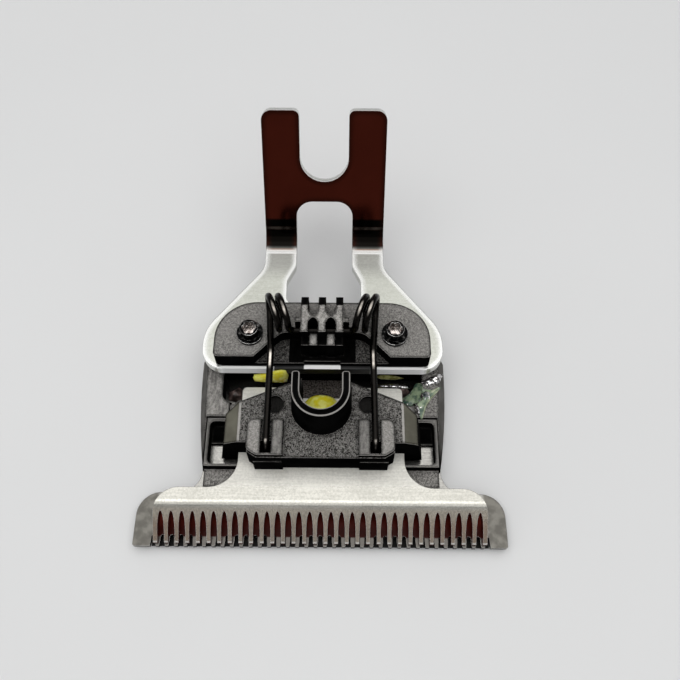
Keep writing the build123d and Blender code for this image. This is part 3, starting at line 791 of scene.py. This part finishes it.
blob(
    "smear_bubble", "frame", smoke, (11.84, 16.7, rail_top),
    half_x=0.44, half_y=0.42, height=0.38, lumps=0.1, seed=10.0,
)
blob(
    "smear_glints", "frame", wet, (12.65, 18.6, rail_top),
    half_x=1.25, half_y=0.62, height=0.26, lumps=0.5, seed=11.0, turn=0.4,
)
blob(
    "smear_spill", "frame", wet, (10.8, 14.95, rail_top),
    half_x=0.28, half_y=0.75, height=0.26, lumps=0.4, seed=12.0, turn=0.3,
)
strand("smear_thread", "frame", pale_green, [
    (13.6, 17.75, rail_top, 0.0, 0.0),
    (13.1, 17.1, rail_top, 0.1, 0.2),
    (12.4, 16.32, rail_top, 0.08, 0.22),
    (11.85, 15.6, rail_top, 0.13, 0.2),
    (11.62, 15.0, rail_top, 0.1, 0.2),
    (11.42, 14.3, rail_top, 0.08, 0.18),
    (11.28, 13.7, rail_top, 0.0, 0.0),
])
blob(
    "grime_left", "frame", brown, (-10.2, 17.6, comb_top),
    half_x=1.05, half_y=0.85, height=0.9, lumps=0.5, seed=13.0, turn=0.3,
)
blob(
    "grime_right", "frame", brown, (9.2, 17.9, comb_top),
    half_x=1.2, half_y=0.5, height=1.45, lumps=0.4, seed=14.0, turn=0.1,
)
strand("grime_streak", "frame", wet, [
    (6.3, 18.4, 2.5, 0.0, 0.0),
    (7.0, 18.35, 2.6, 0.18, 0.14),
    (8.0, 18.3, 2.7, 0.26, 0.18),
    (9.2, 18.25, 2.75, 0.3, 0.2),
    (9.9, 18.2, 2.65, 0.2, 0.15),
    (10.4, 18.15, 2.4, 0.0, 0.0),
])


def gap_shade_sheet():
    """A thin, near-black sloping sheet that closes the comb's gaps from below, just inside its bevel:
    painted shade.
    """
    half_width = 18.2
    front = (0.1, 0.71)
    rear = (1.15, 0.51)
    thickness = 0.1
    shape = bmesh.new()
    corners = []
    for rise in (0, thickness):
        for side, (y, z) in ((-1, front), (1, front), (1, rear), (-1, rear)):
            corners.append(shape.verts.new(at(side * half_width, y, z + rise)))
    for sides in ((0, 1, 2, 3), (4, 5, 6, 7), (0, 1, 5, 4), (1, 2, 6, 5), (2, 3, 7, 6), (3, 0, 4, 7)):
        shape.faces.new([corners[index] for index in sides])
    return finished("shade_sheet_in_gaps", shape, "frame", gap_shade)


gap_shade_sheet()


# Floor, light and camera
def floor_finish():
    """A pale, matt and nearly even floor."""
    f = Finish("floor_pale")
    cloud = f.noise(0.02, 3.0)
    f.set(Base_Color=f.mix(cloud, (0.74, 0.74, 0.735), (0.78, 0.78, 0.775)), Roughness=0.7)
    f.set(Normal=f.bump(f.noise(1.2, 2.0), 0.01))
    return f


floor_size = 4.0
floor_drop = 0.00002
bpy.ops.mesh.primitive_plane_add(size=floor_size, location=(0, 0, -floor_drop))
floor = bpy.context.object
floor.name = "floor"
floor_finish().dress(floor)

sky_colour = (0.97, 0.98, 1.0, 1)
sky_strength = 0.35
world = bpy.data.worlds.new("studio")
bpy.context.scene.world = world
world.use_nodes = True
sky = world.node_tree.nodes["Background"]
sky.inputs["Color"].default_value = sky_colour
sky.inputs["Strength"].default_value = sky_strength


def softbox(name, place, target, width, depth, radiance):
    """A rectangular lamp that looks at a point; its power follows from how bright it looks."""
    lamp = bpy.data.lights.new(name, "AREA")
    lamp.shape = "RECTANGLE"
    lamp.size = width
    lamp.size_y = depth
    lamp.energy = radiance * math.pi * width * depth
    holder = bpy.data.objects.new(name, lamp)
    holder.location = place
    holder.visible_camera = False
    holder.rotation_euler = (Vector(target) - Vector(place)).to_track_quat("-Z", "Y").to_euler()
    bpy.context.scene.collection.objects.link(holder)


softbox("wide_box", (0, -0.05, 0.46), (0, -0.05, 0), width=0.70, depth=0.90, radiance=0.75)
softbox("middle_box", (0, 0.01, 0.45), (0, 0.01, 0), width=0.62, depth=0.42, radiance=0.42)
softbox("narrow_box", (0, -0.05, 0.44), (0, -0.05, 0), width=0.60, depth=0.16, radiance=0.8)
softbox("left_box", (-0.5, -0.2, 0.3), (0, 0, 0), width=0.3, depth=0.3, radiance=0.8)

lens_pixels = 750
image_pixels = 680
sensor = 36.0
nearest_seen = 0.005
view_tilt = math.radians(27.5)
view_roll = math.radians(0.43)
view_place = at(1.961, -17.437, 82.937)
camera = bpy.data.objects.new("camera", bpy.data.cameras.new("camera"))
camera.data.sensor_width = sensor
camera.data.lens = lens_pixels / image_pixels * sensor
camera.data.clip_start = nearest_seen
turn = Matrix.Rotation(view_tilt, 4, "X") @ Matrix.Rotation(view_roll, 4, "Z")
camera.matrix_world = Matrix.Translation(view_place) @ turn
bpy.context.scene.collection.objects.link(camera)
bpy.context.scene.camera = camera
bpy.context.scene.view_settings.view_transform = "Standard"
